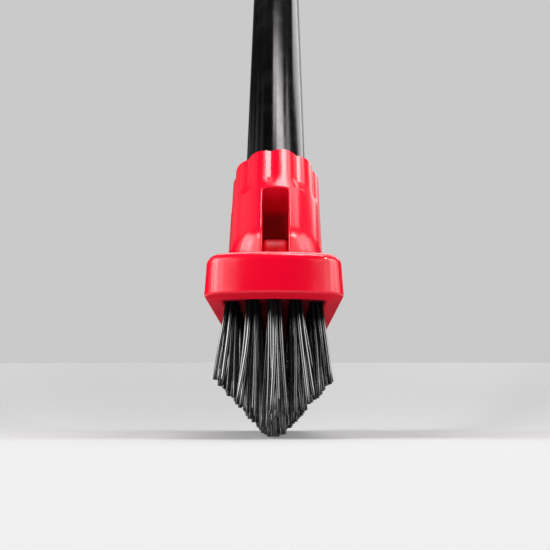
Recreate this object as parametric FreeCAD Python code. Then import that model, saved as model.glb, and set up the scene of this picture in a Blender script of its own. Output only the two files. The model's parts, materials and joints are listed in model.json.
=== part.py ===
import FreeCAD, Part
import math
import os

from FreeCAD import Placement, Rotation, Vector

# Head block, lengths in mm and angles in degrees
BLOCK_LENGTH = 214.0
BLOCK_WIDTH = 36.4
BLOCK_HEIGHT = 12.1
NOSE_RADIUS = 45.0
CORNER_RADIUS = 7.4
BEVEL_WIDTH = 5.1
BEVEL_HEIGHT = 1.2
FIELD_RECESS = 0.8
WALL_DRAFT = 3.7
TOP_ROUND = 2.8
RIM_ROUND = 0.6
LIP_ROUND = 0.55

# Bristle field
BRISTLE_REACH = 35.0
CENTRE_TUFTS = 27
TUFT_END_SETBACK = 7.55
COLUMN_SPACING = 5.5
COLUMN_NAMES = {
    -2: "left_outer",
    -1: "left_inner",
    0: "centre",
    1: "right_inner",
    2: "right_outer",
}
TUFT_HOLE_RADIUS = 1.8
TUFT_HOLE_DEPTH = 9.0
TUFT_CLEARANCE = 0.05
TUFT_TIP_RADIUS = 2.7
TUFT_SIDE_LEAN = 6.0
TUFT_NOSE_LEAN = 5.0
TUFT_NOSE_ZONE = 20.0
TRIM_SIDE_ANGLE = 48.0
TRIM_RIDGE_RADIUS = 5.0
TRIM_BOW_LENGTH = 27.0
TRIM_BOW_RADIUS = 46.0
TRIM_ALLOWANCE = 6.0
ANCHOR_THICKNESS = 0.4
ANCHOR_HEIGHT = 2.2
ANCHOR_CLEARANCE = 0.05
FOLD_THICKNESS = 1.2

# Swivel socket, measured from the hinge axis along the pole
POLE_LEAN = 36.0
SOCKET_RADIUS = 17.8
SOCKET_LENGTH = 46.5
BALL_CLEARANCE = 0.3
SLOT_WIDTH = 9.74
SLOT_CEILING = 21.5
SLOT_CORNER_ROUND = 0.6
SLOT_EDGE_ROUND = 0.6
RIB_THICKNESS = 14.0
RIB_EDGE = 6.0
RIB_CLEARANCE = 1.0
FLUTE_COUNT = 10
FLUTE_DEPTH = 1.2
FLUTE_LOBE_RADIUS = 7.2
FLUTE_TURN = -6.0
FLUTE_FADE_START = 23.2
FLUTE_FADE_END = 29.0
RIM_CHAMFER = 0.4

# Hinge
TONGUE_RADIUS = 7.4
TONGUE_SIDE_GAP = 0.15
TONGUE_EDGE_ROUND = 1.6
TONGUE_FOOT = 2.0
BUSH_FLANGE = 0.8
BUSH_FLANGE_RADIUS = 4.9
BUSH_SIDE_CLEARANCE = 0.07
BUSH_WALL = 1.0
BUSH_CLEARANCE = 0.02
BOLT_RADIUS = 2.5
BOLT_RUNNING_CLEARANCE = 0.06
BOLT_HEAD_RADIUS = 4.75
BOLT_HEAD_HEIGHT = 2.75
BOLT_HEAD_ROUND = 1.6
BOLT_KEY_WIDTH = 3.0
BOLT_KEY_DEPTH = 1.7
BOLT_END_PROUD = 0.3
NUT_WIDTH = 8.0
NUT_HEIGHT = 4.0
NUT_CHAMFER = 0.6
WASHER_RADIUS = 5.0
WASHER_THICKNESS = 1.0
CHEEK_THICKNESS = 4.0
POCKET_RADIUS = 6.2
PLUG_CLEARANCE = 0.1

# Pole tubes
TUBE_RADIUS = 12.5
TUBE_WALL = 1.0
OUTER_TUBE_LENGTH = 520.0
INNER_TUBE_RADIUS = 11.0
INNER_TUBE_WALL = 0.9
SEAT_DEPTH = 4.0
SEAT_CLEARANCE = 0.15
END_GAP = 0.3
PRESS_CLEARANCE = 0.02
SLIDE_CLEARANCE = 0.08

# Pole tip with its screw spigot
SPIGOT_RADIUS = 10.0
SPIGOT_LENGTH = 16.5
SPIGOT_CLEARANCE = 0.2
SPIGOT_CHAMFER = 1.0
TIP_PLUG_LENGTH = 26.0

# Twist lock
LOCK_BASE_RADIUS = 14.5
LOCK_SLEEVE_LENGTH = 28.0
LOCK_SHOULDER = 6.0
LOCK_FLANGE_RADIUS = 16.5
LOCK_FLANGE_HEIGHT = 5.0
LOCK_FLANGE_ROUND = 1.2
CLAMP_RING_HEIGHT = 12.0
CLAMP_RING_RADIUS = 14.2
CLAMP_RING_TOP_RADIUS = 13.2
CLAMP_SLIT = 2.0
COLLAR_RADIUS = 17.4
COLLAR_TOP_WALL = 2.5
COLLAR_HOLE_CLEARANCE = 0.4
COLLAR_FLUTES = 14
COLLAR_FLUTE_DEPTH = 0.8
COLLAR_LOBE_RADIUS = 5.4
COLLAR_CHAMFER = 1.0

# Slide bush, grip and end cap
BUSH_REST_GAP = 10.0
SLIDE_BUSH_HEIGHT = 14.0
SLIDE_BUSH_SPIGOT = 16.0
GRIP_GAP = 0.6
GRIP_LENGTH = 118.0
GRIP_RADIUS = 14.5
GRIP_ROUND = 2.5
CAP_RADIUS = 13.5
CAP_FLANGE_HEIGHT = 6.0
CAP_PLUG_LENGTH = 22.0
CAP_ROUND = 1.5
HANG_TAB_THICKNESS = 11.0
HANG_TAB_RADIUS = 10.5
HANG_HOLE_RADIUS = 4.5
HANG_HOLE_RISE = 8.0
HANG_TAB_ROUND = 2.0

# How close a measured point must lie to a construction station to count as on it
MATCH_TOLERANCE = 0.03

# Levels of the head above the bristle ridge
FACE_Z = BRISTLE_REACH
FIELD_Z = FACE_Z + FIELD_RECESS
RIM_Z = FACE_Z + BEVEL_HEIGHT
TOP_Z = FACE_Z + BLOCK_HEIGHT
HINGE_Z = TOP_Z + SOCKET_RADIUS + BALL_CLEARANCE
HINGE = Vector(0, 0, HINGE_Z)
LAST_TUFT_Y = BLOCK_LENGTH / 2 - TUFT_END_SETBACK
TUFT_PITCH = 2 * LAST_TUFT_Y / (CENTRE_TUFTS - 1)
ACROSS = Vector(1, 0, 0)
ALONG = Vector(0, 1, 0)
UP = Vector(0, 0, 1)
DOWN = Vector(0, 0, -1)

# Hinge stations out from the middle of the tongue
SLOT_HALF = SLOT_WIDTH / 2
TONGUE_HALF = SLOT_HALF - TONGUE_SIDE_GAP
FLANGE_X = SLOT_HALF - BUSH_SIDE_CLEARANCE
FLANGE_SEAT_X = FLANGE_X - BUSH_FLANGE
SEAT_X = SLOT_HALF + CHEEK_THICKNESS
CLAMP_X = SEAT_X + WASHER_THICKNESS
BOLT_END_X = CLAMP_X + NUT_HEIGHT + BOLT_END_PROUD
PLUG_X = BOLT_END_X + END_GAP
BUSH_BORE = BOLT_RADIUS + BOLT_RUNNING_CLEARANCE
BUSH_RADIUS = BUSH_BORE + BUSH_WALL

# Stations along the pole from the hinge axis
TUBE_START = SOCKET_LENGTH - SEAT_DEPTH + END_GAP
TUBE_END = TUBE_START + OUTER_TUBE_LENGTH
TUBE_BORE = TUBE_RADIUS - TUBE_WALL
TIP_TOP = TUBE_START + TIP_PLUG_LENGTH
BUSH_BOTTOM = TIP_TOP + BUSH_REST_GAP
INNER_START = BUSH_BOTTOM + SLIDE_BUSH_HEIGHT
INNER_BORE = INNER_TUBE_RADIUS - INNER_TUBE_WALL
LOCK_BOTTOM = TUBE_END - LOCK_SLEEVE_LENGTH
SHOULDER_BOTTOM = TUBE_END + END_GAP
SHOULDER_TOP = SHOULDER_BOTTOM + LOCK_SHOULDER
CLAMP_BOTTOM = SHOULDER_TOP + END_GAP
CLAMP_TOP = CLAMP_BOTTOM + CLAMP_RING_HEIGHT
COLLAR_BOTTOM = LOCK_BOTTOM + LOCK_FLANGE_HEIGHT + END_GAP
COLLAR_CEILING = CLAMP_TOP + END_GAP
COLLAR_TOP = COLLAR_CEILING + COLLAR_TOP_WALL
GRIP_BOTTOM = COLLAR_TOP + GRIP_GAP
GRIP_TOP = GRIP_BOTTOM + GRIP_LENGTH
CAP_TOP = GRIP_TOP + CAP_FLANGE_HEIGHT
HANG_CENTRE = CAP_TOP + HANG_HOLE_RISE


def rod(radius, bottom, top):
    """Cylinder on the Z axis between two stations."""
    return Part.makeCylinder(radius, top - bottom, Vector(0, 0, bottom))


def sleeve(outer, inner, bottom, top):
    """Tube on the Z axis between two stations."""
    return rod(outer, bottom, top).cut(rod(inner, bottom, top))


def cross_rod(radius, start, end):
    """Cylinder along X through the local origin between two stations."""
    return Part.makeCylinder(radius, end - start, Vector(start, 0, 0), ACROSS)


def hex_rod(width, start, end):
    """Hexagonal bar along X between two stations."""
    corner = width / math.sqrt(3)
    turns = [math.radians(60 * i) for i in range(7)]
    points = [Vector(start, corner * math.sin(t), corner * math.cos(t)) for t in turns]
    return Part.Face(Part.makePolygon(points)).extrude(Vector(end - start, 0, 0))


def round_edges(shape, radius, wanted):
    """Fillet the edges whose middle point passes the test."""
    edges = [e for e in shape.Edges if wanted(e.valueAt((e.FirstParameter + e.LastParameter) / 2))]
    return shape.makeFillet(radius, edges)


def near(value, target):
    """True when a measured coordinate lies on a construction station."""
    return math.isclose(value, target, abs_tol=MATCH_TOLERANCE)


def moved(shape, placement):
    """Copy of a shape carried from its own frame into the head frame."""
    copy = shape.copy()
    copy.Placement = placement.multiply(shape.Placement)
    return copy


def on_hinge(shape):
    """Shape built round the hinge centre, upright with the head."""
    return moved(shape, Placement(HINGE, Rotation()))


def on_pole(shape):
    """Shape built along the pole from the hinge centre, leaning with the pole."""
    return moved(shape, Placement(HINGE, Rotation(ACROSS, -POLE_LEAN)))


def arc_through(first, middle, last):
    return Part.Arc(first, middle, last).toShape()


def polar(radius, angle, z):
    return Vector(radius * math.cos(angle), radius * math.sin(angle), z)


# Head block with its hinge tongue and drilled tuft holes

def block_outline(inset, z):
    """Outline of the block at one level, set in evenly from the widest line."""
    half_width = BLOCK_WIDTH / 2 - inset
    half_length = BLOCK_LENGTH / 2 - inset
    corner = CORNER_RADIUS - inset
    nose = NOSE_RADIUS - inset
    corner_x = half_width - corner
    rise = math.sqrt((nose - corner) ** 2 - corner_x ** 2)
    nose_y = half_length - nose
    corner_y = nose_y + rise
    contact = math.atan2(rise, corner_x)

    def on_corner(side, angle):
        point = polar(corner, angle, z)
        return Vector(side * (corner_x + point.x), corner_y + point.y, z)

    start = Vector(half_width, -corner_y, z)
    right = [on_corner(1, a) for a in (0, contact / 2, contact)]
    left = [on_corner(-1, a) for a in (contact, contact / 2, 0)]
    half = [
        Part.makeLine(start, right[0]),
        arc_through(*right),
        arc_through(right[-1], Vector(0, half_length, z), left[0]),
        arc_through(*left),
    ]
    other = [e.rotated(Vector(0, 0, 0), UP, 180) for e in half]
    return Part.Wire(half + other)


def hinge_tongue():
    """Flat tongue with a round top, standing on the middle of the block, seated for the bushes."""
    foot_z = TOP_Z - HINGE_Z - TONGUE_FOOT
    foot = [Vector(0, side * TONGUE_RADIUS, foot_z) for side in (-1, 1)]
    shoulder = [Vector(0, side * TONGUE_RADIUS, 0) for side in (-1, 1)]
    outline = [
        Part.makeLine(foot[0], foot[1]),
        Part.makeLine(foot[1], shoulder[1]),
        arc_through(shoulder[1], Vector(0, 0, TONGUE_RADIUS), shoulder[0]),
        Part.makeLine(shoulder[0], foot[0]),
    ]
    tongue = Part.Face(Part.Wire(outline)).extrude(Vector(2 * TONGUE_HALF, 0, 0))
    tongue.translate(Vector(-TONGUE_HALF, 0, 0))
    tongue = round_edges(
        tongue,
        TONGUE_EDGE_ROUND,
        lambda p: near(abs(p.x), TONGUE_HALF) and not near(p.z, foot_z),
    )
    tongue = tongue.cut(cross_rod(BUSH_RADIUS + BUSH_CLEARANCE, -TONGUE_HALF, TONGUE_HALF))
    for start, end in ((-TONGUE_HALF, -FLANGE_SEAT_X), (FLANGE_SEAT_X, TONGUE_HALF)):
        tongue = tongue.cut(cross_rod(BUSH_FLANGE_RADIUS + BUSH_CLEARANCE, start, end))
    return on_hinge(tongue)


def tuft_stations():
    """Column number and frame of every tuft, root on the recessed field of the block."""
    outermost = max(COLUMN_NAMES)
    lean_start = LAST_TUFT_Y - TUFT_NOSE_ZONE
    stations = []
    for column in COLUMN_NAMES:
        count = CENTRE_TUFTS - abs(column)
        for i in range(count):
            y = TUFT_PITCH * (i - (count - 1) / 2)
            side_lean = TUFT_SIDE_LEAN * column / outermost
            nose_share = max(0, abs(y) - lean_start) / TUFT_NOSE_ZONE
            nose_lean = math.copysign(TUFT_NOSE_LEAN * nose_share, y)
            lean = Rotation(ACROSS, nose_lean).multiply(Rotation(ALONG, -side_lean))
            root = Vector(COLUMN_SPACING * column, y, FIELD_Z)
            stations.append((column, Placement(root, lean)))
    return stations


def head_block():
    set_in = (TOP_Z - RIM_Z) * math.tan(math.radians(WALL_DRAFT))
    levels = [
        block_outline(BEVEL_WIDTH, FACE_Z),
        block_outline(0, RIM_Z),
        block_outline(set_in, TOP_Z),
    ]
    block = Part.makeLoft(levels, True, True)
    block = round_edges(block, TOP_ROUND, lambda p: near(p.z, TOP_Z))
    block = round_edges(block, RIM_ROUND, lambda p: near(p.z, RIM_Z))
    block = block.fuse(hinge_tongue())
    field = Part.Face(block_outline(BEVEL_WIDTH, FACE_Z)).extrude(Vector(0, 0, FIELD_RECESS))
    block = round_edges(block.cut(field), LIP_ROUND, lambda p: near(p.z, FACE_Z))
    hole = rod(TUFT_HOLE_RADIUS, -TRIM_ALLOWANCE, TUFT_HOLE_DEPTH)
    holes = [moved(hole, frame) for _, frame in tuft_stations()]
    return block.cut(Part.makeCompound(holes))


# Bristle tufts and the anchors that hold them

def anchor_blank(clearance):
    """Flat anchor across the inside of a tuft's fold, grown by a clearance."""
    half_width = TUFT_HOLE_RADIUS - 2 * TUFT_CLEARANCE + clearance
    half_thick = ANCHOR_THICKNESS / 2 + clearance
    top = TUFT_HOLE_DEPTH - FOLD_THICKNESS + clearance
    height = ANCHOR_HEIGHT + 2 * clearance
    corner = Vector(-half_width, -half_thick, top - height)
    return Part.makeBox(2 * half_width, 2 * half_thick, height, corner)


def tuft_blank():
    """Untrimmed tuft: straight in its hole, flaring below the block."""
    radius = TUFT_HOLE_RADIUS - TUFT_CLEARANCE
    length = FIELD_Z + TRIM_ALLOWANCE
    flare = (TUFT_TIP_RADIUS - radius) / FIELD_Z
    root = rod(radius, 0, TUFT_HOLE_DEPTH - TUFT_CLEARANCE)
    brush = Part.makeCone(radius, radius + flare * length, length, Vector(0, 0, 0), DOWN)
    return root.fuse(brush).cut(anchor_blank(ANCHOR_CLEARANCE))


def bow_profile(radius, x, drop):
    """Lengthwise section of the trim at one station across: flat, then curved up to both noses."""
    half_length = BLOCK_LENGTH / 2 + TRIM_ALLOWANCE
    flat = BLOCK_LENGTH / 2 - TRIM_BOW_LENGTH
    reach = half_length - flat

    def on_bow(side, share):
        out = reach * share
        rise = radius - math.sqrt(radius ** 2 - out ** 2)
        return Vector(x, side * (flat + out), rise - drop)

    front = [on_bow(-1, share) for share in (1, 1 / 2, 0)]
    back = [on_bow(1, share) for share in (0, 1 / 2, 1)]
    top = [Vector(x, side * half_length, TOP_Z) for side in (1, -1)]
    return Part.Face(Part.Wire([
        arc_through(*front),
        Part.makeLine(front[-1], back[0]),
        arc_through(*back),
        Part.makeLine(back[-1], top[0]),
        Part.makeLine(top[0], top[1]),
        Part.makeLine(top[1], front[0]),
    ]))


def trim_envelope():
    """Space the bristles are left in: a round V across, bowed up to both noses, with eased corners."""
    half_width = BLOCK_WIDTH / 2 + TRIM_ALLOWANCE
    half_length = BLOCK_LENGTH / 2 + TRIM_ALLOWANCE
    slant = math.radians(TRIM_SIDE_ANGLE)
    ridge_x = TRIM_RIDGE_RADIUS * math.sin(slant)
    ridge_z = TRIM_RIDGE_RADIUS * (1 - math.cos(slant))
    side_z = ridge_z + (half_width - ridge_x) * math.tan(slant)

    def across(x, z):
        return Vector(x, -half_length, z)

    side = [across(ridge_x, ridge_z), across(half_width, side_z), across(half_width, TOP_Z)]
    mirrored = [across(-p.x, p.z) for p in reversed(side)]
    section = Part.Wire([
        arc_through(mirrored[-1], across(0, 0), side[0]),
        *Part.makePolygon(side + mirrored).Edges,
    ])
    vee = Part.Face(section).extrude(Vector(0, 2 * half_length, 0))
    bow = bow_profile(TRIM_BOW_RADIUS, -half_width, 0).extrude(Vector(2 * half_width, 0, 0))
    corner_rise = half_width * math.tan(slant) * math.sqrt(1 / 2)
    corner_drop = 2 * corner_rise - side_z * math.sqrt(1 / 2)
    corner = bow_profile(TRIM_BOW_RADIUS * math.sqrt(2), -half_width, corner_drop)
    corner = corner.extrude(Vector(2 * half_width, 0, 2 * corner_rise))
    mate = corner.rotated(Vector(0, 0, 0), UP, 180)
    return vee.common(bow).common(corner).common(mate)


def tuft_columns():
    """One group of separate trimmed tufts for each column, the right ones mirrored from the left."""
    blank = tuft_blank()
    envelope = trim_envelope()
    columns = {column: [] for column in COLUMN_NAMES}
    for column, frame in tuft_stations():
        if column <= 0:
            columns[column].extend(moved(blank, frame).common(envelope).Solids)
    for column in columns:
        if column > 0:
            columns[column] = [tuft.mirror(Vector(0, 0, 0), ACROSS) for tuft in columns[-column]]
    return {COLUMN_NAMES[c]: Part.makeCompound(tufts) for c, tufts in columns.items()}


def tuft_anchors():
    anchor = anchor_blank(0)
    return Part.makeCompound([moved(anchor, frame) for _, frame in tuft_stations()])


# Swivel socket: ball-shaped fork below, smooth barrel, fluted rim

def flute_points(reach, lobe, depth, count, inset):
    """Radius and angle of the start, crest, end and valley of one flute, set in evenly."""
    half_step = math.pi / count
    crest = reach - lobe
    valley = depth * (depth - 2 * crest) / (2 * crest * (1 - math.cos(half_step)) - 2 * depth)
    bearing = math.atan2(valley * math.sin(half_step), valley * math.cos(half_step) - crest)
    joint_x = crest + (lobe - inset) * math.cos(bearing)
    joint_y = (lobe - inset) * math.sin(bearing)
    joint = math.hypot(joint_x, joint_y)
    turn = math.atan2(joint_y, joint_x)
    return [(joint, -turn), (reach - inset, 0), (joint, turn), (reach - depth - inset, half_step)]


def fluted_ring(points, count, z):
    """Closed ring of rounded lobes and valleys with a valley at the front."""
    step = 2 * math.pi / count
    front = -math.pi / 2 - step / 2
    edges = []
    for i in range(count):
        start, crest, end, valley = [polar(r, front + i * step + a, z) for r, a in points]
        following = polar(points[0][0], front + (i + 1) * step + points[0][1], z)
        edges.append(arc_through(start, crest, end))
        edges.append(arc_through(end, valley, following))
    return Part.Wire(edges)


def socket_barrel():
    """Ball end and smooth barrel turned from one profile."""
    eighth = math.pi / 4
    outline = Part.Wire([
        arc_through(
            Vector(0, 0, -SOCKET_RADIUS),
            Vector(SOCKET_RADIUS * math.cos(eighth), 0, -SOCKET_RADIUS * math.sin(eighth)),
            Vector(SOCKET_RADIUS, 0, 0),
        ),
        Part.makeLine(Vector(SOCKET_RADIUS, 0, 0), Vector(SOCKET_RADIUS, 0, FLUTE_FADE_START)),
        Part.makeLine(Vector(SOCKET_RADIUS, 0, FLUTE_FADE_START), Vector(0, 0, FLUTE_FADE_START)),
        Part.makeLine(Vector(0, 0, FLUTE_FADE_START), Vector(0, 0, -SOCKET_RADIUS)),
    ])
    return Part.Face(outline).revolve(Vector(0, 0, 0), UP, 360)


def socket_rim():
    """Upper end of the socket: flutes that fade into the smooth barrel."""
    points, edge = [
        flute_points(SOCKET_RADIUS, FLUTE_LOBE_RADIUS, FLUTE_DEPTH, FLUTE_COUNT, inset)
        for inset in (0, RIM_CHAMFER)
    ]
    plain = [(SOCKET_RADIUS, angle) for _, angle in points]
    levels = [
        fluted_ring(plain, FLUTE_COUNT, FLUTE_FADE_START),
        fluted_ring(points, FLUTE_COUNT, FLUTE_FADE_END),
        fluted_ring(points, FLUTE_COUNT, SOCKET_LENGTH - RIM_CHAMFER),
        fluted_ring(edge, FLUTE_COUNT, SOCKET_LENGTH),
    ]
    rim = Part.makeLoft(levels, True, True)
    return rim.rotated(Vector(0, 0, 0), UP, FLUTE_TURN)


def fork_slot():
    """Space cut from the fork: open across below, two pockets above with a tapered rib between them."""
    rib_z = TONGUE_RADIUS + RIB_CLEARANCE
    through = Part.makeBox(
        SLOT_WIDTH,
        2 * SOCKET_LENGTH,
        SOCKET_LENGTH + rib_z,
        Vector(-SLOT_HALF, -SOCKET_LENGTH, -SOCKET_LENGTH),
    )
    outline = Part.makePolygon([
        Vector(-SLOT_HALF, y, z)
        for y, z in (
            (SOCKET_LENGTH, SLOT_CEILING),
            (RIB_THICKNESS / 2, SLOT_CEILING),
            (RIB_EDGE / 2, rib_z),
            (RIB_EDGE / 2, 0),
            (SOCKET_LENGTH, 0),
            (SOCKET_LENGTH, SLOT_CEILING),
        )
    ])
    pocket = Part.Face(outline).extrude(Vector(SLOT_WIDTH, 0, 0))
    pocket = round_edges(
        pocket,
        SLOT_CORNER_ROUND,
        lambda p: near(p.z, SLOT_CEILING) and near(abs(p.x), SLOT_HALF),
    )
    return through.fuse([pocket, pocket.rotated(Vector(0, 0, 0), UP, 180)])


def swivel_socket():
    barrel = socket_barrel().cut(fork_slot())
    barrel = round_edges(barrel, SLOT_EDGE_ROUND, on_slot_mouth)
    socket = barrel.fuse(socket_rim())
    spigot_bottom = TUBE_START - SPIGOT_LENGTH - END_GAP
    socket = socket.cut(rod(TUBE_RADIUS + SEAT_CLEARANCE, SOCKET_LENGTH - SEAT_DEPTH, SOCKET_LENGTH))
    socket = socket.cut(rod(SPIGOT_RADIUS + SPIGOT_CLEARANCE, spigot_bottom, SOCKET_LENGTH))
    socket = socket.cut(cross_rod(BUSH_BORE, -SOCKET_RADIUS, SOCKET_RADIUS))
    for side in (-1, 1):
        pocket = cross_rod(POCKET_RADIUS, SEAT_X, SOCKET_RADIUS)
        socket = socket.cut(pocket.rotated(Vector(0, 0, 0), UP, 90 - 90 * side))
    return on_pole(socket)


def on_slot_mouth(point):
    """True on the outer edges of the slot, on the barrel or on the ball."""
    radius = math.hypot(point.x, point.y)
    if point.z < 0:
        radius = point.Length
    inside_slot = abs(point.x) < SLOT_HALF + MATCH_TOLERANCE
    return near(radius, SOCKET_RADIUS) and inside_slot and not near(point.z, FLUTE_FADE_START)


# Hinge hardware across the fork

def pivot_bushes():
    """Two flanged bushes pressed into the tongue from its two faces."""
    bore = cross_rod(BUSH_BORE, -SOCKET_RADIUS, SOCKET_RADIUS)
    body = cross_rod(BUSH_RADIUS, END_GAP, FLANGE_SEAT_X)
    flange = cross_rod(BUSH_FLANGE_RADIUS, FLANGE_SEAT_X, FLANGE_X)
    bush = body.fuse(flange).cut(bore)
    mate = bush.rotated(Vector(0, 0, 0), UP, 180)
    return Part.makeCompound([on_hinge(bush), on_hinge(mate)])


def hinge_bolt():
    """Button-head bolt with a hexagon key recess, head on the left."""
    head = cross_rod(BOLT_HEAD_RADIUS, -CLAMP_X - BOLT_HEAD_HEIGHT, -CLAMP_X)
    head = round_edges(head, BOLT_HEAD_ROUND, lambda p: near(p.x, -CLAMP_X - BOLT_HEAD_HEIGHT))
    key = hex_rod(
        BOLT_KEY_WIDTH,
        -CLAMP_X - BOLT_HEAD_HEIGHT,
        -CLAMP_X - BOLT_HEAD_HEIGHT + BOLT_KEY_DEPTH,
    )
    shank = cross_rod(BOLT_RADIUS, -CLAMP_X, BOLT_END_X)
    return on_pole(head.fuse(shank).cut(key))


def hinge_nut():
    """Lock nut on the right end of the bolt."""
    end = CLAMP_X + NUT_HEIGHT
    crown = cross_rod(NUT_WIDTH / math.sqrt(3), CLAMP_X, end)
    crown = crown.makeChamfer(NUT_CHAMFER, [e for e in crown.Edges if near(e.BoundBox.XMin, end)])
    bore = cross_rod(BOLT_RADIUS + BUSH_CLEARANCE, CLAMP_X, end)
    return on_pole(hex_rod(NUT_WIDTH, CLAMP_X, end).common(crown).cut(bore))


def hinge_washers():
    """Plain washers under the bolt head and the nut."""
    washers = []
    for start in (-CLAMP_X, SEAT_X):
        end = start + WASHER_THICKNESS
        ring = cross_rod(WASHER_RADIUS, start, end).cut(cross_rod(BUSH_BORE, start, end))
        washers.append(on_pole(ring))
    return Part.makeCompound(washers)


def hinge_plugs():
    """Two plugs that close the bolt pockets flush with the barrel."""
    plug = cross_rod(POCKET_RADIUS - PLUG_CLEARANCE, PLUG_X, SOCKET_RADIUS).common(socket_barrel())
    mate = plug.rotated(Vector(0, 0, 0), UP, 180)
    return Part.makeCompound([on_pole(plug), on_pole(mate)])


# Lower pole with its screw tip

def pole_tip():
    """Plug pressed into the tube, with the spigot that screws into the socket."""
    bottom = TUBE_START - SPIGOT_LENGTH
    spigot = rod(SPIGOT_RADIUS, bottom, TUBE_START)
    spigot = spigot.makeChamfer(SPIGOT_CHAMFER, [e for e in spigot.Edges if near(e.BoundBox.ZMax, bottom)])
    plug = rod(TUBE_BORE - PRESS_CLEARANCE, TUBE_START, TIP_TOP)
    return on_pole(spigot.fuse(plug))


def outer_tube():
    return on_pole(sleeve(TUBE_RADIUS, TUBE_BORE, TUBE_START, TUBE_END))


# Twist lock at the top of the lower pole

def lock_base():
    """Sleeve pressed over the tube end, with a foot flange and a shoulder on top."""
    foot = rod(LOCK_FLANGE_RADIUS, LOCK_BOTTOM, LOCK_BOTTOM + LOCK_FLANGE_HEIGHT)
    foot = round_edges(foot, LOCK_FLANGE_ROUND, lambda p: near(math.hypot(p.x, p.y), LOCK_FLANGE_RADIUS)
                       and not near(p.z, LOCK_BOTTOM + LOCK_FLANGE_HEIGHT / 2))
    base = foot.fuse(rod(LOCK_BASE_RADIUS, LOCK_BOTTOM, SHOULDER_TOP))
    base = base.cut(rod(TUBE_RADIUS + PRESS_CLEARANCE, LOCK_BOTTOM, SHOULDER_BOTTOM))
    return on_pole(base.cut(rod(INNER_TUBE_RADIUS + SLIDE_CLEARANCE, LOCK_BOTTOM, SHOULDER_TOP)))


def clamp_ring():
    """Split tapered ring the collar squeezes on the inner tube."""
    ring = Part.makeCone(
        CLAMP_RING_RADIUS,
        CLAMP_RING_TOP_RADIUS,
        CLAMP_RING_HEIGHT,
        Vector(0, 0, CLAMP_BOTTOM),
    )
    ring = ring.cut(rod(INNER_TUBE_RADIUS + SLIDE_CLEARANCE, CLAMP_BOTTOM, CLAMP_TOP))
    slit = Part.makeBox(
        CLAMP_SLIT,
        CLAMP_RING_RADIUS,
        CLAMP_RING_HEIGHT,
        Vector(-CLAMP_SLIT / 2, 0, CLAMP_BOTTOM),
    )
    return on_pole(ring.cut(slit))


def lock_collar():
    """Fluted collar that turns on the base and closes over the clamp ring."""
    points, edge = [
        flute_points(COLLAR_RADIUS, COLLAR_LOBE_RADIUS, COLLAR_FLUTE_DEPTH, COLLAR_FLUTES, inset)
        for inset in (0, COLLAR_CHAMFER)
    ]
    levels = [
        fluted_ring(edge, COLLAR_FLUTES, COLLAR_BOTTOM),
        fluted_ring(points, COLLAR_FLUTES, COLLAR_BOTTOM + COLLAR_CHAMFER),
        fluted_ring(points, COLLAR_FLUTES, COLLAR_TOP - COLLAR_CHAMFER),
        fluted_ring(edge, COLLAR_FLUTES, COLLAR_TOP),
    ]
    collar = Part.makeLoft(levels, True, True)
    collar = collar.cut(rod(LOCK_BASE_RADIUS + SLIDE_CLEARANCE, COLLAR_BOTTOM, COLLAR_CEILING))
    return on_pole(collar.cut(rod(INNER_TUBE_RADIUS + COLLAR_HOLE_CLEARANCE, COLLAR_BOTTOM, COLLAR_TOP)))


# Upper pole with its guide, grip and end cap

def inner_tube():
    return on_pole(sleeve(INNER_TUBE_RADIUS, INNER_BORE, INNER_START, GRIP_TOP))


def slide_bush():
    """Guide plugged into the lower end of the inner tube, wider than the shoulder above."""
    guide = rod(TUBE_BORE - SLIDE_CLEARANCE, BUSH_BOTTOM, INNER_START)
    spigot = rod(INNER_BORE - PRESS_CLEARANCE, INNER_START, INNER_START + SLIDE_BUSH_SPIGOT)
    return on_pole(guide.fuse(spigot))


def grip():
    grip_sleeve = rod(GRIP_RADIUS, GRIP_BOTTOM, GRIP_TOP)
    middle = (GRIP_BOTTOM + GRIP_TOP) / 2
    grip_sleeve = round_edges(grip_sleeve, GRIP_ROUND, lambda p: not near(p.z, middle))
    return on_pole(grip_sleeve.cut(rod(INNER_TUBE_RADIUS + PRESS_CLEARANCE, GRIP_BOTTOM, GRIP_TOP)))


def end_cap():
    """Plug, flange and hanging tab with a cross hole."""
    plug = rod(INNER_BORE - PRESS_CLEARANCE, GRIP_TOP - CAP_PLUG_LENGTH, GRIP_TOP)
    flange = rod(CAP_RADIUS, GRIP_TOP, CAP_TOP)
    flange = round_edges(flange, CAP_ROUND, lambda p: near(p.z, CAP_TOP))
    half = HANG_TAB_THICKNESS / 2
    centre = Vector(-half, 0, HANG_CENTRE)
    tab = Part.makeCylinder(HANG_TAB_RADIUS, HANG_TAB_THICKNESS, centre, ACROSS)
    neck = Part.makeBox(
        HANG_TAB_THICKNESS,
        2 * HANG_TAB_RADIUS,
        HANG_CENTRE - GRIP_TOP,
        Vector(-half, -HANG_TAB_RADIUS, GRIP_TOP),
    )
    tab = tab.fuse(neck).removeSplitter()
    tab = round_edges(tab, HANG_TAB_ROUND, lambda p: near(abs(p.x), half) and not near(p.z, GRIP_TOP))
    hole = Part.makeCylinder(HANG_HOLE_RADIUS, HANG_TAB_THICKNESS, centre, ACROSS)
    return on_pole(plug.fuse(flange).fuse(tab).cut(hole))


# Write every node

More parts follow.
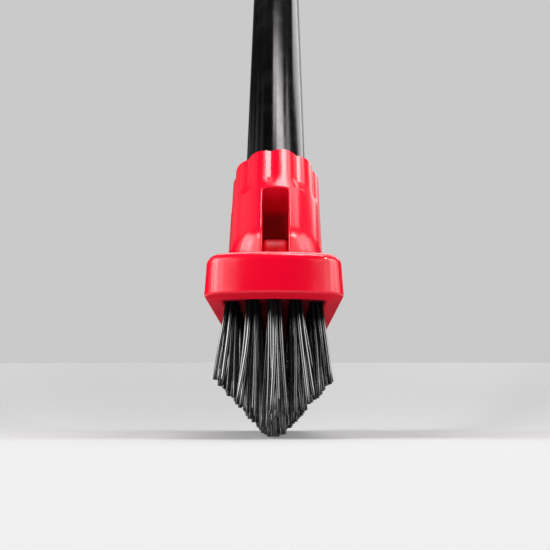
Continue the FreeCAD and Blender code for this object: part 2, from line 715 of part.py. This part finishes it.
os.makedirs("parts", exist_ok=True)
nodes = {
    "head_block": head_block(),
    "tuft_anchors": tuft_anchors(),
    "pivot_bushes": pivot_bushes(),
    "swivel_socket": swivel_socket(),
    "hinge_bolt": hinge_bolt(),
    "hinge_nut": hinge_nut(),
    "hinge_washers": hinge_washers(),
    "hinge_plugs": hinge_plugs(),
    "pole_tip": pole_tip(),
    "outer_tube": outer_tube(),
    "lock_base": lock_base(),
    "clamp_ring": clamp_ring(),
    "lock_collar": lock_collar(),
    "inner_tube": inner_tube(),
    "slide_bush": slide_bush(),
    "grip": grip(),
    "end_cap": end_cap(),
}
for column_name, tufts in tuft_columns().items():
    nodes["tufts_" + column_name] = tufts
for name, shape in nodes.items():
    shape.exportStep("parts/" + name + ".step")
    print(name, len(shape.Solids), shape.isValid(), round(shape.Volume))
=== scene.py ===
import json
import math
import random

import bmesh
import bpy
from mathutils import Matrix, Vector


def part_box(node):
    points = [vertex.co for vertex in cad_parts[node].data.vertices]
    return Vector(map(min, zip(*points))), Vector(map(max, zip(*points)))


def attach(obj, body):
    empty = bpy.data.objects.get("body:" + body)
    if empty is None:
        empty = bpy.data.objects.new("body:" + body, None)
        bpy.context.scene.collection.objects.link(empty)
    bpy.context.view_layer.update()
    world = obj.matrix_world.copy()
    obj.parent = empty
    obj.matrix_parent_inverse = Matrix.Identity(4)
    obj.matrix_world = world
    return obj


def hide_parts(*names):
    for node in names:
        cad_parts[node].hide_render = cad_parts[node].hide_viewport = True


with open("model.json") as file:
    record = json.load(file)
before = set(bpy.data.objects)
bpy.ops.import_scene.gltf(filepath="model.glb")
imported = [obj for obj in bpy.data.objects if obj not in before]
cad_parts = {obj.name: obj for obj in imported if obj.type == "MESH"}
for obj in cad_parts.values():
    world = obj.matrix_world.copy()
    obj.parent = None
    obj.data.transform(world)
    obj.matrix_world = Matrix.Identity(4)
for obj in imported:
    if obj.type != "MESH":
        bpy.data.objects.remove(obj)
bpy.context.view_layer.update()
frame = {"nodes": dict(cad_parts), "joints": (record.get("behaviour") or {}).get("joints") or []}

# The head block is an injection moulding in red polypropylene with a satin gloss: a
# fine skin from the mould, faint flow marks along it and light scuffs from use. The
# bristle field and the inside of the slot are painted darker, as painted shade.
# Undersides and the tongue are dull.
RED_DEEP = (0.78, 0.0006, 0.021)
RED_BRIGHT = (0.84, 0.0009, 0.025)
# Painted shade: darker reds for the field between the tufts and the inside of the slot.
RED_FIELD_SHADE = (0.20, 0.0006, 0.008)
RED_SLOT_SHADE = (0.33, 0.0004, 0.008)
SKIN_LIFT = 0.0002

# A pair is where a change of the finish starts and where it is complete: the facing of
# the undersides, heights in the slot, and lengths from the hinge along the pole.
UNDERSIDE_FACING = (-0.98, -0.6)
FIELD_FACING = (-0.998, -0.985)
SLOT_MOUTH = (0.052, 0.056)
SLOT_SIDE = (0.0049, 0.0051)
TONGUE_TOP = (0.0077, 0.0083)
SLOT_SHADE_TOP = (0.0172, 0.0222)

joints = {joint["name"]: joint for joint in frame["joints"]}
hinge = Vector(joints["head_pivot"]["pos_m"])
pole_axis = -Vector(joints["pole_extend"]["axis"])
pole_lean = math.atan2(pole_axis.y, pole_axis.z)


class Shade:
    """A socket in a node tree. Arithmetic on it adds Math nodes."""

    def __init__(self, tree, socket):
        self.tree = tree
        self.socket = socket

    def node(self, kind, settings, inputs, output=0):
        """Adds any other node: its type, its settings, then the values or links of its sockets."""
        added = self.tree.nodes.new(kind)
        for name, value in settings.items():
            setattr(added, name, value)
        for name, value in inputs.items():
            if isinstance(value, Shade):
                self.tree.links.new(value.socket, added.inputs[name])
            else:
                added.inputs[name].default_value = value
        return Shade(self.tree, added.outputs[output])

    def maths(self, operation, *terms):
        """A Math node on these terms, for what has no operator."""
        return self.node("ShaderNodeMath", {"operation": operation}, dict(enumerate(terms)))

    def __add__(self, other):
        return self.maths("ADD", self, other)

    def __radd__(self, other):
        return self.maths("ADD", other, self)

    def __sub__(self, other):
        return self.maths("SUBTRACT", self, other)

    def __rsub__(self, other):
        return self.maths("SUBTRACT", other, self)

    def __mul__(self, other):
        return self.maths("MULTIPLY", self, other)

    def __rmul__(self, other):
        return self.maths("MULTIPLY", other, self)

    def part(self, axis):
        """One of the three components."""
        return self.node("ShaderNodeSeparateXYZ", {}, {0: self}, axis)

    def noise(self, scale, detail=2.0, stretch=(1, 1, 1)):
        """Soft noise on these coordinates, drawn out where the stretch is small."""
        place = self.node("ShaderNodeMapping", {}, {"Vector": self, "Scale": stretch})
        return self.node("ShaderNodeTexNoise", {}, {"Vector": place, "Scale": scale, "Detail": detail})

    def between(self, low, high):
        """0 below low, 1 above high, smooth between."""
        return self.node(
            "ShaderNodeMapRange",
            {"interpolation_type": "SMOOTHSTEP"},
            {"Value": self, "From Min": low, "From Max": high},
        )

    def colour(self, first, second):
        """Colour that goes from the first to the second as this value goes from 0 to 1."""
        # Sockets 6 and 7 of a Mix node take its two colours, and output 2 gives the mixed one.
        ends = {6: first, 7: second}
        ends = {slot: end if isinstance(end, Shade) else (*end, 1) for slot, end in ends.items()}
        return self.node("ShaderNodeMix", {"data_type": "RGBA"}, {"Factor": self, **ends}, output=2)

    def bump(self, strength, lift):
        """Normal of a surface that this value lifts."""
        heights = {"Height": self, "Strength": strength, "Distance": lift}
        return self.node("ShaderNodeBump", {}, heights)


def new_finish(name):
    """A material, its shader node and the object coordinates of what wears it."""
    material = bpy.data.materials.new(name)
    material.use_nodes = True
    tree = material.node_tree
    place = Shade(tree, tree.nodes.new("ShaderNodeTexCoord").outputs["Object"])
    return material, tree.nodes["Principled BSDF"], place


def feed(shader, **sources):
    """Sets or joins the shader's sockets, Base_Color for Base Color."""
    for name, source in sources.items():
        socket = shader.inputs[name.replace("_", " ")]
        if isinstance(source, Shade):
            source.tree.links.new(source.socket, socket)
        else:
            socket.default_value = source


def dull(shader, share, colour):
    """Mixes a dull finish of the same colour into the shader by a share."""
    matt = share.node(
        "ShaderNodeBsdfPrincipled",
        {},
        {"Base Color": colour, "Roughness": 0.8, "Specular IOR Level": 0.05},
    )
    glossy = Shade(share.tree, shader.outputs[0])
    mixed = share.node("ShaderNodeMixShader", {}, {0: share, 1: glossy, 2: matt})
    share.tree.links.new(mixed.socket, share.tree.nodes["Material Output"].inputs["Surface"])


def dress(node, material):
    """Puts one finish on every slot of a CAD node."""
    holder = frame["nodes"][node]
    if not holder.material_slots:
        holder.data.materials.append(material)
    for slot in holder.material_slots:
        slot.material = material


red_plastic, red_shader, red_place = new_finish("red_plastic")
red_flow = red_place.noise(38, 4.0, (1, 0.25, 1)).between(0.3, 0.75)
red_scuff = red_place.noise(900, 2.0, (1, 0.08, 0.5)).between(0.62, 0.72)
red_facing = red_place.node("ShaderNodeTexCoord", {}, {}, "Normal").part(2)
red_underside = 1 - red_facing.between(*UNDERSIDE_FACING)
# Painted shade: faces that look straight down, the flat field between the tufts, are darker.
field_shade = 1 - red_facing.between(*FIELD_FACING)
red_height = red_place.part(2)
red_along = pole_axis.y * red_place.part(1) + pole_axis.z * (red_height - hinge.z)
from_middle = red_place.maths("ABSOLUTE", red_place.part(0))
in_slot = red_height.between(*SLOT_MOUTH) * (1 - from_middle.between(*SLOT_SIDE))
over_tongue = red_along.between(*TONGUE_TOP)
on_tongue = in_slot * (1 - over_tongue)
# Painted shade: the inside of the slot, from the tongue up to near its ceiling, is darker.
slot_shade = in_slot * over_tongue * (1 - red_along.between(*SLOT_SHADE_TOP))
red_clean = red_flow.colour(RED_DEEP, RED_BRIGHT)
red_colour = slot_shade.colour(field_shade.colour(red_clean, RED_FIELD_SHADE), RED_SLOT_SHADE)
red_worn = 0.05 * red_flow + 0.04 * red_scuff
feed(
    red_shader,
    Base_Color=red_colour,
    Roughness=0.18 + red_worn + 0.60 * red_underside + 0.25 * on_tongue,
    Normal=red_place.noise(2600, 1.0).bump(0.05, SKIN_LIFT),
)
dull(red_shader, 0.75 * red_underside, red_colour)
dress("head_block", red_plastic)

# The bristles are thick black nylon filaments, folded over a flat wire in drilled holes
# of the block. They spread towards ends that are trimmed to a V and bowed up at both
# noses. Grime dulls them at the block, and wear on the floor dulls their ends.
FIELD_Z = 0.0358
LAST_TUFT_Y = 0.09945
CENTRE_TUFTS = 27
TUFT_PITCH = 2 * LAST_TUFT_Y / (CENTRE_TUFTS - 1)
TUFT_COLUMNS = {"left_outer": -2, "left_inner": -1, "centre": 0, "right_inner": 1, "right_outer": 2}
COLUMN_SPACING = 0.0055
FILAMENT_RADIUS = 0.00052
ROOT_DEPTH = 0.003
SIDE_LEAN = math.tan(math.radians(6.0))
NOSE_LEAN = math.tan(math.radians(5.0))
NOSE_ZONE = 0.020
STRAY_LEAN = 0.040
STRAY_BOW = 0.0003
STRAY_CUT = 0.0012
STRAY_SEED = 40
TRIM_SLANT = math.radians(48.0)
RIDGE_RADIUS = 0.0050
RIDGE_BLUNT = RIDGE_RADIUS * (1 / math.cos(TRIM_SLANT) - 1)
BOW_START = 0.080
BOW_RADIUS = 0.046
BRISTLE_DARK = (0.002, 0.002, 0.002)
BRISTLE_PALE = (0.008, 0.008, 0.0085)
STRAND_STRETCH = (1, 1, 0.02)
STRAND_LIFT = 0.0001
ROOT_GRIME = (0.0305, 0.0352)
ROOT_GRIME_STRAY = 0.006
END_SCUFF = (0.0003, 0.0042)

# A tuft's filaments stand in two rings, a count and a radius each, and lean outwards by
# the flare for each metre that they stand from the middle of the tuft.
TUFT_RINGS = ((2, 0.00052), (7, 0.00130))
FLARE = 30.0

bristle_black, bristle_shader, bristle_place = new_finish("bristle_black")
strand = bristle_place.noise(1300, 1.0, STRAND_STRETCH).between(0.3, 0.7)
dust = bristle_place.noise(420, 3.0).between(0.55, 0.8)
bristle_height = bristle_place.part(2)
grime_stray = ROOT_GRIME_STRAY * bristle_place.noise(700, 1.0, STRAND_STRETCH)
near_root = (bristle_height + grime_stray).between(*ROOT_GRIME)
out_across, out_along = (strand.maths("ABSOLUTE", bristle_place.part(axis)) for axis in (0, 1))
side_rise = strand.maths("MAXIMUM", math.tan(TRIM_SLANT) * out_across - RIDGE_BLUNT, 0)
past_bow = strand.maths("MAXIMUM", out_along - BOW_START, 0)
nose_rise = past_bow * past_bow * (0.5 / BOW_RADIUS)
cut_height = strand.maths("SQRT", side_rise * side_rise + nose_rise * nose_rise)
near_end = 1 - (bristle_height - cut_height).between(*END_SCUFF)
bristle_colour = strand.colour(BRISTLE_DARK, BRISTLE_PALE)
feed(
    bristle_shader,
    Base_Color=bristle_colour,
    Roughness=0.14 + 0.05 * strand + 0.04 * dust,
    IOR=1.8,
    Specular_IOR_Level=1.0,
    Normal=bristle_place.noise(900, 1.0, (1, 1, 0.2)).bump(0.10, STRAND_LIFT),
)
dull(bristle_shader, strand.maths("MAXIMUM", near_root, 0.7 * near_end), bristle_colour)


def trim_height(x, y):
    """Height of the cut ends over the floor at one place."""
    on_ridge = min(abs(x), RIDGE_RADIUS * math.sin(TRIM_SLANT))
    side = RIDGE_RADIUS - math.sqrt(RIDGE_RADIUS ** 2 - on_ridge ** 2)
    side += (abs(x) - on_ridge) * math.tan(TRIM_SLANT)
    out = max(0, abs(y) - BOW_START)
    return math.hypot(side, BOW_RADIUS - math.sqrt(BOW_RADIUS ** 2 - out ** 2))


def add_filament(bundle, chance, root, lean):
    """One filament: from inside its hole down to the trim, slightly bowed and cut uneven."""
    lean = [slope + chance.gauss(0, STRAY_LEAN) for slope in lean]
    bow = [chance.gauss(0, STRAY_BOW) for _ in lean]
    spare = abs(chance.gauss(0, STRAY_CUT))
    drop = FIELD_Z
    for _ in range(4):
        drop = FIELD_Z - spare - trim_height(root[0] + lean[0] * drop, root[1] + lean[1] * drop)
    line = bundle.splines.new("NURBS")
    line.points.add(3)
    for point, share in zip(line.points, (-ROOT_DEPTH / drop, 0.25, 0.65, 1.0)):
        free = max(0, share)
        bend = 4 * free * (1 - free)
        x, y = (r + s * free * drop + b * bend for r, s, b in zip(root, lean, bow))
        point.co = (x, y, FIELD_Z - share * drop, 1)
    line.order_u = 3
    line.use_endpoint_u = True


def new_piece(name, shape, material):
    """An object at the origin from a finished bmesh, smooth, with its material."""
    mesh = bpy.data.meshes.new(name)
    shape.to_mesh(mesh)
    shape.free()
    mesh.shade_smooth()
    mesh.materials.append(material)
    piece = bpy.data.objects.new(name, mesh)
    bpy.context.scene.collection.objects.link(piece)
    return piece


def tuft_column(name, column):
    """All filaments of one column of tufts as one mesh."""
    chance = random.Random(STRAY_SEED + column)
    bundle = bpy.data.curves.new(name, "CURVE")
    bundle.dimensions = "3D"
    bundle.bevel_depth = FILAMENT_RADIUS
    bundle.bevel_resolution = 2
    bundle.resolution_u = 2
    bundle.use_fill_caps = True
    count = CENTRE_TUFTS - abs(column)
    for i in range(count):
        y = TUFT_PITCH * (i - (count - 1) / 2)
        nose_share = max(0, abs(y) - LAST_TUFT_Y + NOSE_ZONE) / NOSE_ZONE
        tuft_lean = (SIDE_LEAN * column / 2, math.copysign(NOSE_LEAN * nose_share, y))
        turn = chance.uniform(0, math.pi)
        for many, radius in TUFT_RINGS:
            for k in range(many):
                angle = turn + math.tau * k / many
                out = (radius * math.cos(angle), radius * math.sin(angle))
                root = (COLUMN_SPACING * column + out[0], y + out[1])
                add_filament(bundle, chance, root, [t + FLARE * o for t, o in zip(tuft_lean, out)])
    holder = bpy.data.objects.new(name + "_curve", bundle)
    shape = bmesh.new()
    shape.from_mesh(bpy.data.meshes.new_from_object(holder))
    bpy.data.objects.remove(holder)
    return new_piece(name, shape, bristle_black)


for side, column in TUFT_COLUMNS.items():
    bristles = tuft_column("bristles_" + side, column)
    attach(bristles, "head")
    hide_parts("tufts_" + side)

# The tuft anchors and the hinge bolt, nut and washers are zinc-plated steel: flat wire
# driven into the tuft holes, and turned and stamped parts with a dull bright bloom.
ZINC_DULL = (0.55, 0.55, 0.54)
ZINC_BRIGHT = (0.68, 0.68, 0.67)
zinc, zinc_shader, zinc_place = new_finish("zinc_plate")
zinc_bloom = zinc_place.noise(500, 3.0).between(0.35, 0.7)
feed(
    zinc_shader,
    Base_Color=zinc_bloom.colour(ZINC_DULL, ZINC_BRIGHT),
    Metallic=1.0,
    Roughness=0.28 + 0.12 * zinc_bloom,
)
for node in ("tuft_anchors", "hinge_bolt", "hinge_nut", "hinge_washers"):
    dress(node, zinc)

# The pivot bushes and the clamp ring of the twist lock are turned from natural nylon,
# cream and slightly cloudy. The bushes are pressed into the tongue, and the ring lies
# under the ceiling of the lock collar.
NYLON_CREAM = (0.62, 0.59, 0.51)
NYLON_PALE = (0.74, 0.72, 0.65)
nylon, nylon_shader, nylon_place = new_finish("natural_nylon")
nylon_cloud = nylon_place.noise(260, 3.0)
feed(
    nylon_shader,
    Base_Color=nylon_cloud.colour(NYLON_CREAM, NYLON_PALE),
    Roughness=0.4 + 0.1 * nylon_cloud,
)
for node in ("pivot_bushes", "clamp_ring"):
    dress(node, nylon)

# The swivel socket is moulded in the same red plastic as the head, and so are the two
# plugs that close its bolt pockets and the collar of the twist lock further up.
for node in ("swivel_socket", "hinge_plugs", "lock_collar"):
    dress(node, red_plastic)

# The outer tube of the pole is steel with a baked coat of gloss black, a little hazed by
# handling. It is pressed on to the pole tip, whose spigot screws into the socket.
POLE_DARK = (0.0014, 0.0012, 0.0014)
POLE_HAZY = (0.0034, 0.0030, 0.0033)
POLE_SHEEN = (1.0, 0.88, 0.91, 1)
COAT_LIFT = 0.0002
pole_black, pole_shader, pole_place = new_finish("pole_black")
pole_haze = pole_place.noise(120, 3.0).between(0.45, 0.75)
feed(
    pole_shader,
    Base_Color=pole_haze.colour(POLE_DARK, POLE_HAZY),
    Roughness=0.14 + 0.05 * pole_haze,
    Specular_IOR_Level=0.26,
    Specular_Tint=POLE_SHEEN,
    Normal=pole_place.noise(700, 2.0).bump(0.015, COAT_LIFT),
)
dress("outer_tube", pole_black)

# The inner tube has a thinner coat of the same black, drawn dull by the guide bush and
# the clamp ring in fine rub marks along its length.
INNER_DARK = (0.003, 0.003, 0.003)
INNER_RUBBED = (0.022, 0.022, 0.022)
RUB_STRETCH = (1, 1, 0.02)
RUB_LIFT = 0.0001
inner_black, inner_shader, inner_place = new_finish("inner_pole")
upright = {"Vector": inner_place, "Rotation": (pole_lean, 0, 0)}
inner_upright = inner_place.node("ShaderNodeMapping", {}, upright)
inner_rub = inner_upright.noise(1400, 2.0, RUB_STRETCH).between(0.5, 0.75)
feed(
    inner_shader,
    Base_Color=inner_rub.colour(INNER_DARK, INNER_RUBBED),
    Roughness=0.22 + 0.20 * inner_rub,
    Normal=inner_rub.bump(0.1, RUB_LIFT),
)
dress("inner_tube", inner_black)

# Pole tip, lock base, slide bush and end cap are moulded in black plastic with a fine
# spark-eroded grain, and pressed into or on to the ends of the two tubes.
PLASTIC_DARK = (0.012, 0.012, 0.012)
PLASTIC_PALE = (0.02, 0.02, 0.02)
GRAIN_LIFT = 0.0002
black_plastic, black_shader, black_place = new_finish("black_plastic")
black_grain = black_place.noise(1800, 2.0)
feed(
    black_shader,
    Base_Color=black_grain.colour(PLASTIC_DARK, PLASTIC_PALE),
    Roughness=0.42 + 0.12 * black_grain,
    Normal=black_grain.bump(0.2, GRAIN_LIFT),
)
for node in ("pole_tip", "lock_base", "slide_bush", "end_cap"):
    dress(node, black_plastic)

# The grip is a sleeve of black rubber pushed on to the inner tube, moulded with rounded
# ends and a row of shallow rings for the fingers.
RUBBER_DARK = (0.011, 0.011, 0.011)
RUBBER_BLOOM = (0.024, 0.023, 0.022)
RUBBER_LIFT = 0.0002
GRIP_BORE = 0.01106
GRIP_END_ROUND = 0.0025
END_ROUND_STEPS = 6
GRIP_PLAIN_END = 0.008
RING_COUNT = 20
RING_DEPTH = 0.0008
GRIP_STEPS = 64
MERGE_DISTANCE = 0.000001

# Shares of a ring's pitch and of its depth: a flat land, then a rounded groove.
RING_SHAPE = ((0.0, 0.0), (0.55, 0.0), (0.65, 0.7), (0.775, 1.0), (0.90, 0.7))

grip_rubber, rubber_shader, rubber_place = new_finish("grip_rubber")
rubber_bloom = rubber_place.noise(220, 4.0).between(0.4, 0.75)
feed(
    rubber_shader,
    Base_Color=rubber_bloom.colour(RUBBER_DARK, RUBBER_BLOOM),
    Roughness=0.58 + 0.16 * rubber_bloom,
    Normal=rubber_place.noise(2400, 2.0).bump(0.25, RUBBER_LIFT),
)
grip_stations = [pole_axis.dot(vert.co - hinge) for vert in frame["nodes"]["grip"].data.vertices]
grip_bottom = min(grip_stations)
grip_top = max(grip_stations)
grip_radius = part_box("grip")[1].x
end_inset = grip_radius - GRIP_END_ROUND
end_turns = [math.radians(90) * i / END_ROUND_STEPS for i in range(END_ROUND_STEPS + 1)]
end_arc = [(GRIP_END_ROUND * math.sin(a), GRIP_END_ROUND * (1 - math.cos(a))) for a in end_turns]
first_ring = grip_bottom + GRIP_PLAIN_END
ring_pitch = (grip_top - grip_bottom - 2 * GRIP_PLAIN_END) / RING_COUNT
profile = [
    (GRIP_BORE, grip_bottom),
    *((end_inset + out, grip_bottom + up) for out, up in end_arc),
    *(
        (grip_radius - RING_DEPTH * depth, first_ring + ring_pitch * (i + share))
        for i in range(RING_COUNT)
        for share, depth in RING_SHAPE
    ),
    *((end_inset + out, grip_top - down) for out, down in reversed(end_arc)),
    (GRIP_BORE, grip_top),
]
sleeve = bmesh.new()
outline = [sleeve.verts.new(hinge + pole_axis * along + Vector((out, 0, 0))) for out, along in profile]
sides = [sleeve.edges.new(pair) for pair in zip(outline, outline[1:] + outline[:1])]
bmesh.ops.spin(
    sleeve,
    geom=outline + sides,
    cent=hinge,
    axis=pole_axis,
    angle=math.tau,
    steps=GRIP_STEPS,
    use_merge=True,
)
bmesh.ops.remove_doubles(sleeve, verts=sleeve.verts, dist=MERGE_DISTANCE)
bmesh.ops.recalc_face_normals(sleeve, faces=sleeve.faces)
ringed_grip = new_piece("ringed_grip", sleeve, grip_rubber)
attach(ringed_grip, "upper_pole")
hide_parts("grip")

# The floor is a board in dull pale paint. It lies level under the brush and sweeps up a
# little just behind it, where its paint is darker: painted shade.
FLOOR_HALF_WIDTH = 1.6
FLOOR_FRONT = -1.5
SWEEP_START = 0.112
SWEEP_RADIUS = 0.80
SWEEP_ANGLE = math.radians(21.0)
SWEEP_STEPS = 24
FLOOR_DIMMING = (0.04, 0.34)
FRONT_PAINT = ((0.51, 0.51, 0.515), (0.56, 0.56, 0.565))
# Painted shade: the darker paint of the sweep behind the brush.
BACK_SHADE_PAINT = ((0.42, 0.42, 0.425), (0.46, 0.46, 0.465))
floor_paint, floor_shader, floor_place = new_finish("floor_paint")
floor_tone = floor_place.noise(1.3).between(0.35, 0.7)
# Painted shade: darker from the brush backwards.
floor_back_shade = floor_place.part(1).between(*FLOOR_DIMMING)
feed(
    floor_shader,
    Base_Color=floor_back_shade.colour(floor_tone.colour(*FRONT_PAINT), floor_tone.colour(*BACK_SHADE_PAINT)),
    Roughness=0.7 + 0.1 * floor_tone,
    Specular_IOR_Level=0.0,
)
board = bmesh.new()
corners = [
    board.verts.new((x, y, 0))
    for x, y in (
        (-FLOOR_HALF_WIDTH, FLOOR_FRONT),
        (FLOOR_HALF_WIDTH, FLOOR_FRONT),
        (FLOOR_HALF_WIDTH, SWEEP_START),
        (-FLOOR_HALF_WIDTH, SWEEP_START),
    )
]
level = board.faces.new(corners)
bmesh.ops.spin(
    board,
    geom=[*corners[2:], board.edges.get(corners[2:])],
    cent=(0, SWEEP_START, SWEEP_RADIUS),
    axis=(1, 0, 0),
    angle=SWEEP_ANGLE,
    steps=SWEEP_STEPS,
)
bmesh.ops.recalc_face_normals(board, faces=board.faces)
if level.normal.z < 0:
    bmesh.ops.reverse_faces(board, faces=board.faces)
new_piece("floor", board, floor_paint)

# The wall behind is in the world: grey where the camera looks, and for reflections
# grey in a wide patch behind the brush and dark in the rest of the room.
BACKDROP_LEVEL = 0.59
ROOM_LEVEL = 0.018
WALL_WAY = (0, 0.97, 0.24)
WALL_PATCH = (0.80, 0.96)
WALL_LEFT_END = (-0.30, 0.10)
world = bpy.data.worlds.new("studio")
world.use_nodes = True
bpy.context.scene.world = world
room = world.node_tree
ray = Shade(room, room.nodes.new("ShaderNodeTexCoord").outputs["Generated"])
facing = {0: ray, 1: WALL_WAY}
facing_wall = ray.node("ShaderNodeVectorMath", {"operation": "DOT_PRODUCT"}, facing, output=1)
seen, mirrored, through = (
    ray.node("ShaderNodeLightPath", {}, {}, "Is %s Ray" % kind)
    for kind in ("Camera", "Glossy", "Transmission")
)
patch = facing_wall.between(*WALL_PATCH) * ray.part(0).between(*WALL_LEFT_END)
wall = ray.maths("MAXIMUM", seen, (mirrored + through) * patch)
feed(
    room.nodes["Background"],
    Color=(1, 1, 1, 1),
    Strength=ROOM_LEVEL + (BACKDROP_LEVEL - ROOM_LEVEL) * wall,
)

# The lamps are soft boxes with even white fronts: a key, a fill and a back box at each
# side, two small hard ones above them, four overhead, two behind, and an arc of dim
# panels round the line of the pole, where its left side mirrors them.
BRUSH_MIDDLE = (0.0, 0.0, 0.065)
SOCKET_MIDDLE = (0.0, 0.02, 0.09)
RIM_BOX_AIM = (0.0, 0.08, 0.17)
OVERHEAD_SLANT = 0.02
ARC_DISTANCE = 1.4
ARC_OPENING = math.radians(41.0)
PANEL_SIZE = (0.36, 0.36)

# Name, place at the right, width and height, radiance at the left and at the right.
SIDE_BOXES = (
    ("key", (1.083, -0.211, 0.652), (0.72, 0.70), (5.8, 4.0)),
    ("fill", (1.05, -0.82, 0.50), (1.10, 0.90), (3.3, 1.8)),
    ("back", (1.236, 0.218, 0.40), (0.55, 0.90), (0.4, 1.6)),
)

# Name, place, what it is aimed at, width and height, radiance.
AIMED_BOXES = (
    ("left_spot", (-0.83, -0.72, 1.14), BRUSH_MIDDLE, (0.15, 0.15), 62.0),
    ("right_spot", (0.91, -0.54, 1.15), BRUSH_MIDDLE, (0.15, 0.15), 46.0),
    ("rim_box", (0.72, 1.07, 1.03), RIM_BOX_AIM, (0.50, 0.70), 2.4),
    ("back_box", (0.0, 1.0, 1.35), BRUSH_MIDDLE, (1.00, 0.70), 3.2),
)

# Name, place, width and height, radiance.
OVERHEAD_BOXES = (
    ("top_front", (0.25, -0.02, 1.25), (0.42, 0.32), 9.0),
    ("top_right", (0.65, 0.22, 1.25), (0.36, 0.22), 3.4),
    ("top_back", (-0.02, 0.14, 1.35), (0.22, 0.16), 7.5),
    ("top_back_side", (0.22, 0.14, 1.35), (0.26, 0.16), 5.0),
)

# Degrees round the pole from its front to the left, radiance.
ARC_PANELS = ((60, 0.26), (84, 0.30), (108, 0.15), (132, 0.18))


def soft_box(name, at, aim, size, radiance):
    """A rectangular soft box of an even radiance that faces the point it is aimed at."""
    width, height = size
    lamp = bpy.data.lights.new(name, "AREA")
    lamp.shape = "RECTANGLE"
    lamp.size = width
    lamp.size_y = height
    lamp.energy = radiance * math.pi * width * height
    box = bpy.data.objects.new(name, lamp)
    box.location = at
    box.rotation_euler = (Vector(aim) - Vector(at)).to_track_quat("-Z", "Y").to_euler()
    bpy.context.scene.collection.objects.link(box)


for name, (out, along, up), size, radiances in SIDE_BOXES:
    soft_box("left_" + name, (-out, along, up), BRUSH_MIDDLE, size, radiances[0])
    soft_box("right_" + name, (out, along, up), BRUSH_MIDDLE, size, radiances[1])
for lamp_box in AIMED_BOXES:
    soft_box(*lamp_box)
for name, (across, along, up), size, radiance in OVERHEAD_BOXES:
    soft_box(name, (across, along, up), (across, along - OVERHEAD_SLANT, 0), size, radiance)
pole_left = Vector((-1, 0, 0))
pole_front = pole_axis.cross(pole_left)
for turn, radiance in ARC_PANELS:
    angle = math.radians(turn)
    around = math.cos(angle) * pole_front + math.sin(angle) * pole_left
    reach = math.cos(ARC_OPENING) * pole_axis + math.sin(ARC_OPENING) * around
    at = Vector(SOCKET_MIDDLE) + ARC_DISTANCE * reach
    soft_box("arc_%d" % turn, at, SOCKET_MIDDLE, PANEL_SIZE, radiance)

# The camera stands low before the nose of the head and looks slightly up along it, with
# the lens length given in pixels of the picture.
IMAGE_WIDTH = 550
FOCAL_PIXELS = 850
SENSOR_WIDTH = 36.0
CAMERA_PLACE = (0.0012, -0.3167, 0.0043)
CAMERA_PITCH = math.radians(9.80)
CAMERA_YAW = math.radians(0.25)
NEAREST_SEEN = 0.005
camera_data = bpy.data.cameras.new("camera")
camera_data.sensor_width = SENSOR_WIDTH
camera_data.lens = SENSOR_WIDTH * FOCAL_PIXELS / IMAGE_WIDTH
camera_data.clip_start = NEAREST_SEEN
camera = bpy.data.objects.new("camera", camera_data)
camera.location = CAMERA_PLACE
camera.rotation_euler = (math.radians(90) + CAMERA_PITCH, 0, CAMERA_YAW)
bpy.context.scene.collection.objects.link(camera)
bpy.context.scene.camera = camera
bpy.context.scene.view_settings.view_transform = "Standard"
